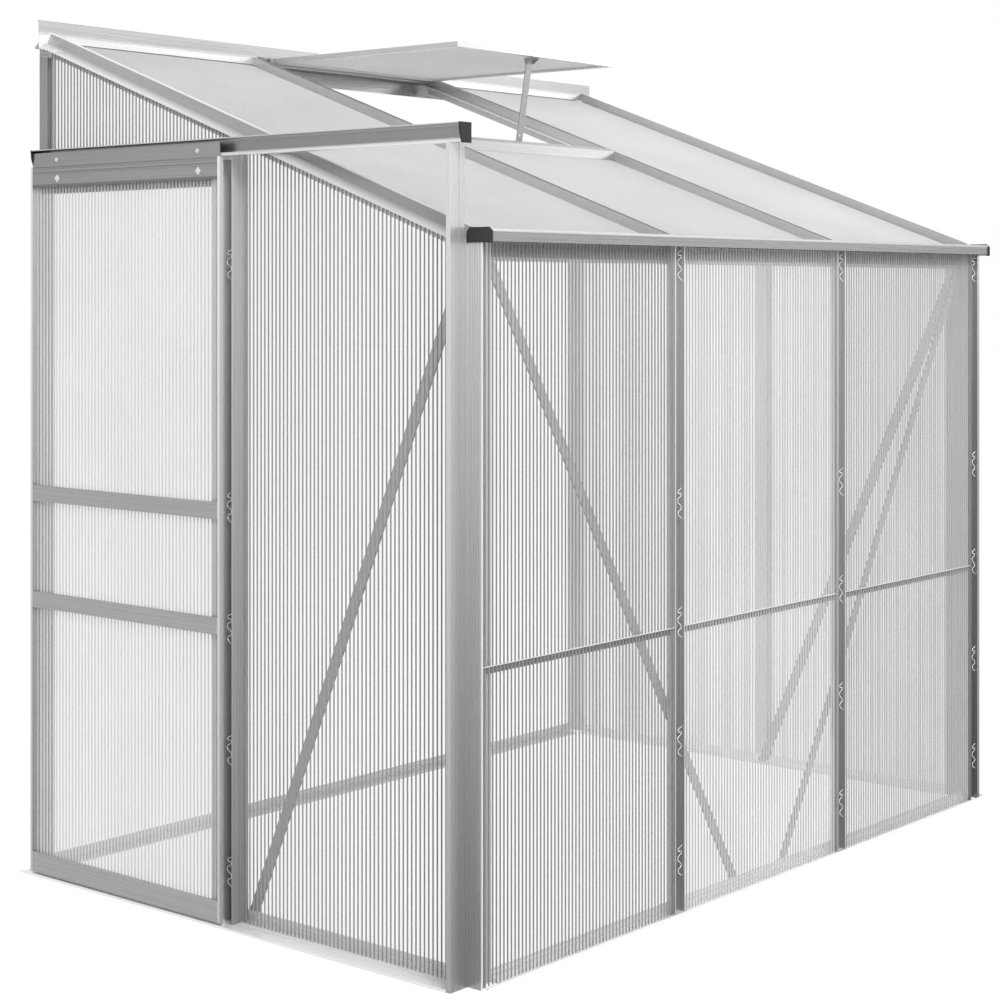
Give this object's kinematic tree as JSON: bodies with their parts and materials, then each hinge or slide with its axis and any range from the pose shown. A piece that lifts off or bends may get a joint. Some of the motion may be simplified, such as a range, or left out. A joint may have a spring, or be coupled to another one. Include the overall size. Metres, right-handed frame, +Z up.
{
  "type": "lean-to greenhouse",
  "caption": "Lean-to greenhouse: aluminium bars, twin-wall panes, sliding gable door on a hung track, hinged roof vent on a stay, eave gutter, back open to a wall.",
  "frame": {"origin": "on the ground under the middle of the bounding box", "axes": "+X along the front from the door gable to the closed gable, +Y from the front towards the wall, +Z up"},
  "size_m": [1.974, 1.297, 1.844],
  "materials": {
    "mill_aluminium": "mill finish extrusion",
    "brace_aluminium": "mill finish flat bar",
    "twin_wall_sheet": "clear ribbed twin-wall sheet",
    "end_cap_plastic": "moulded",
    "roller_plastic": "moulded",
    "fastener_steel": "zinc plated"
  },
  "bodies": {
    "frame": {"base_rail_front": "mill_aluminium", "base_rail_rear": "mill_aluminium", "door_sill": "mill_aluminium", "base_rail_right": "mill_aluminium", "corner_post_front_left": "mill_aluminium", "corner_post_front_right": "mill_aluminium", "corner_post_rear_left": "mill_aluminium", "corner_post_rear_right": "mill_aluminium", "front_post_left": "mill_aluminium", "front_post_right": "mill_aluminium", "door_jamb_post": "mill_aluminium", "gable_post_right": "mill_aluminium", "track_support_post": "mill_aluminium", "track_support_rear": "mill_aluminium", "eave_gutter": "mill_aluminium", "gutter_caps": "end_cap_plastic", "ridge_rail": "mill_aluminium", "rafter_gable_left": "mill_aluminium", "rafter_left": "mill_aluminium", "rafter_right": "mill_aluminium", "rafter_gable_right": "mill_aluminium", "vent_sill": "mill_aluminium", "vent_header": "mill_aluminium", "brace_gable_left": "brace_aluminium", "brace_gable_right": "brace_aluminium", "brace_front_left": "brace_aluminium", "brace_front_right": "brace_aluminium", "front_joint_strips": "mill_aluminium", "front_pane_lower_left": "twin_wall_sheet", "front_pane_lower_middle": "twin_wall_sheet", "front_pane_lower_right": "twin_wall_sheet", "front_pane_upper_left": "twin_wall_sheet", "front_pane_upper_middle": "twin_wall_sheet", "front_pane_upper_right": "twin_wall_sheet", "gable_pane_left_front": "twin_wall_sheet", "gable_pane_left_door_head": "twin_wall_sheet", "gable_pane_right_front": "twin_wall_sheet", "gable_pane_right_rear": "twin_wall_sheet", "roof_pane_left": "twin_wall_sheet", "roof_pane_middle": "twin_wall_sheet", "roof_pane_right": "twin_wall_sheet", "door_track": "mill_aluminium", "door_track_caps": "end_cap_plastic", "glazing_clips": "fastener_steel", "frame_bolts": "fastener_steel"},
    "door": {"door_stile_front": "mill_aluminium", "door_stile_rear": "mill_aluminium", "door_top_rail": "mill_aluminium", "door_cross_rail_upper": "mill_aluminium", "door_cross_rail_lower": "mill_aluminium", "door_bottom_rail": "mill_aluminium", "door_pane": "twin_wall_sheet", "door_axles": "fastener_steel", "door_cap_nuts": "fastener_steel"},
    "door_roller_front": {"door_roller_front": "roller_plastic"},
    "door_roller_rear": {"door_roller_rear": "roller_plastic"},
    "vent": {"vent_frame": "mill_aluminium", "vent_pane": "twin_wall_sheet", "vent_stay_bracket": "mill_aluminium"},
    "vent_stay": {"vent_stay": "mill_aluminium"}
  },
  "joints": [
    {"name": "door_slide", "type": "slide", "parent": "frame", "child": "door", "axis": [0, -1, 0], "range_m": [0, 0.5985]},
    {"name": "door_roller_front_spin", "type": "hinge", "parent": "door", "child": "door_roller_front", "pos_m": [-0.9745, 0.0855, 1.53721], "axis": [1, 0, 0], "continuous": true},
    {"name": "door_roller_rear_spin", "type": "hinge", "parent": "door", "child": "door_roller_rear", "pos_m": [-0.9745, 0.5305, 1.53721], "axis": [1, 0, 0], "continuous": true},
    {"name": "vent_hinge", "type": "hinge", "parent": "frame", "child": "vent", "pos_m": [-0.0075, 0.5835, 1.80715], "axis": [1, 0, 0], "range_deg": [0, 20]},
    {"name": "vent_stay_pivot", "type": "hinge", "parent": "vent", "child": "vent_stay", "pos_m": [-0.0075, 0.02854, 1.792], "axis": [1, 0, 0], "range_deg": [0, 70]}
  ],
  "couplings": [
    {"joint": "door_roller_front_spin", "follows": "door_slide", "rad_per_m": 100},
    {"joint": "door_roller_rear_spin", "follows": "door_slide", "rad_per_m": 100}
  ]
}
